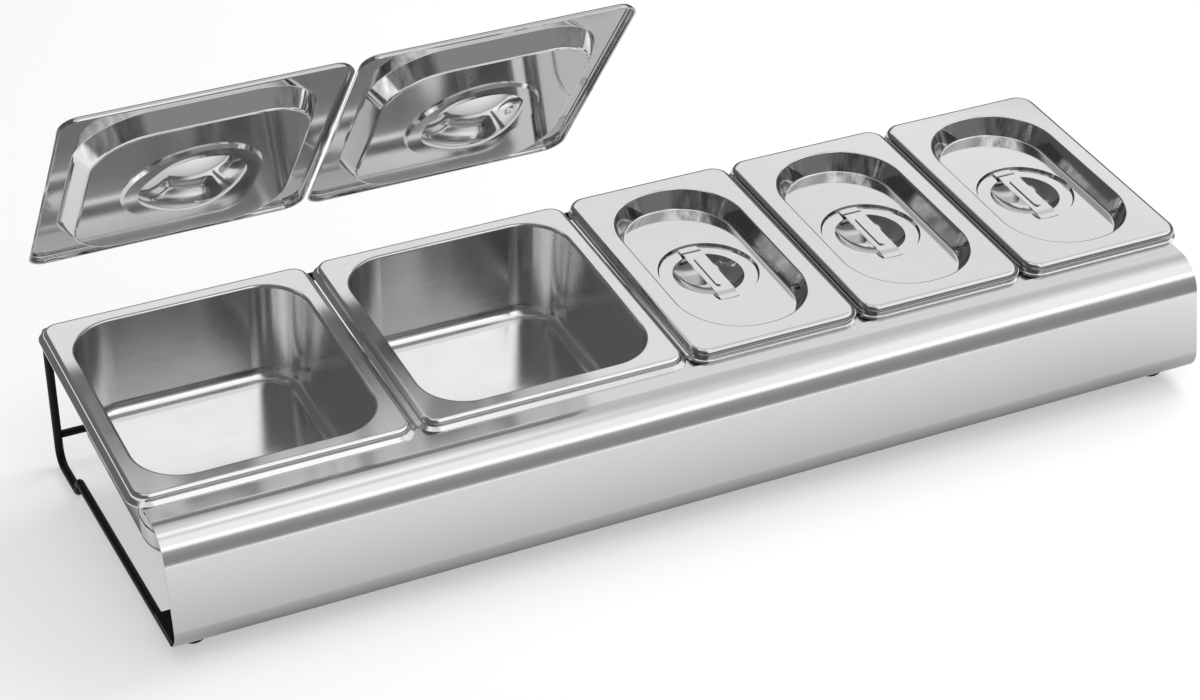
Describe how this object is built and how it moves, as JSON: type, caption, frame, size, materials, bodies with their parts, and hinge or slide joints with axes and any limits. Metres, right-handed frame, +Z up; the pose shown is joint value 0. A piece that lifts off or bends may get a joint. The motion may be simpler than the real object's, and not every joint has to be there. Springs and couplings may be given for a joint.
{
  "type": "condiment pan rack",
  "caption": "Sloping countertop rack with a bent steel front that holds a row of lift-out food pans with recessed strap-handled lids.",
  "frame": {"origin": "on the floor under the middle of the rack", "axes": "+X along the row to the slim pans, +Y to the back, +Z up"},
  "size_m": [0.6516, 0.223, 0.2756],
  "materials": {
    "front_sheet": "fine brushed along the row, satin",
    "pan_sheet": "polished rim, satin inside",
    "lid_sheet": "bright pressed sheet",
    "strap_sheet": "bright pressed strap",
    "frame_black": "satin black coat",
    "foot_rubber": "matt"
  },
  "bodies": {
    "rack": {"front_panel": "front_sheet", "base_strip": "frame_black", "side_wire_left": "frame_black", "side_wire_right": "frame_black", "rear_cross_rod": "frame_black", "rear_rail": "frame_black", "rubber_feet": "foot_rubber"},
    "pan_1_body": {"pan_1": "pan_sheet"},
    "lid_1_body": {"lid_1": "lid_sheet", "lid_handle_1": "strap_sheet"},
    "pan_2_body": {"pan_2": "pan_sheet"},
    "lid_2_body": {"lid_2": "lid_sheet", "lid_handle_2": "strap_sheet"},
    "pan_3_body": {"pan_3": "pan_sheet"},
    "lid_3_body": {"lid_3": "lid_sheet", "lid_handle_3": "strap_sheet"},
    "pan_4_body": {"pan_4": "pan_sheet"},
    "lid_4_body": {"lid_4": "lid_sheet", "lid_handle_4": "strap_sheet"},
    "pan_5_body": {"pan_5": "pan_sheet"},
    "lid_5_body": {"lid_5": "lid_sheet", "lid_handle_5": "strap_sheet"}
  },
  "joints": [
    {"name": "pan_1_lift", "type": "slide", "parent": "rack", "child": "pan_1_body", "axis": [0, -0.0872, 0.9962], "range_m": [0, 0.1]},
    {"name": "pan_2_lift", "type": "slide", "parent": "rack", "child": "pan_2_body", "axis": [0, -0.0872, 0.9962], "range_m": [0, 0.1]},
    {"name": "pan_3_lift", "type": "slide", "parent": "rack", "child": "pan_3_body", "axis": [0, -0.0872, 0.9962], "range_m": [0, 0.1]},
    {"name": "pan_4_lift", "type": "slide", "parent": "rack", "child": "pan_4_body", "axis": [0, -0.0872, 0.9962], "range_m": [0, 0.1]},
    {"name": "pan_5_lift", "type": "slide", "parent": "rack", "child": "pan_5_body", "axis": [0, -0.0872, 0.9962], "range_m": [0, 0.1]},
    {"name": "lid_1_swing", "type": "hinge", "parent": "pan_1_body", "child": "lid_1_body", "pos_m": [-0.24484, 0.13589, 0.11992], "axis": [1, 0, 0], "range_deg": [0, 56.2]},
    {"name": "lid_2_swing", "type": "hinge", "parent": "pan_2_body", "child": "lid_2_body", "pos_m": [-0.08192, 0.13589, 0.11992], "axis": [1, 0, 0], "range_deg": [0, 56.2]},
    {"name": "lid_3_swing", "type": "hinge", "parent": "pan_3_body", "child": "lid_3_body", "pos_m": [0.054, 0.13589, 0.11992], "axis": [1, 0, 0], "range_deg": [-56.2, 0]},
    {"name": "lid_4_swing", "type": "hinge", "parent": "pan_4_body", "child": "lid_4_body", "pos_m": [0.16292, 0.13589, 0.11992], "axis": [1, 0, 0], "range_deg": [-56.2, 0]},
    {"name": "lid_5_swing", "type": "hinge", "parent": "pan_5_body", "child": "lid_5_body", "pos_m": [0.27184, 0.13589, 0.11992], "axis": [1, 0, 0], "range_deg": [-56.2, 0]}
  ]
}
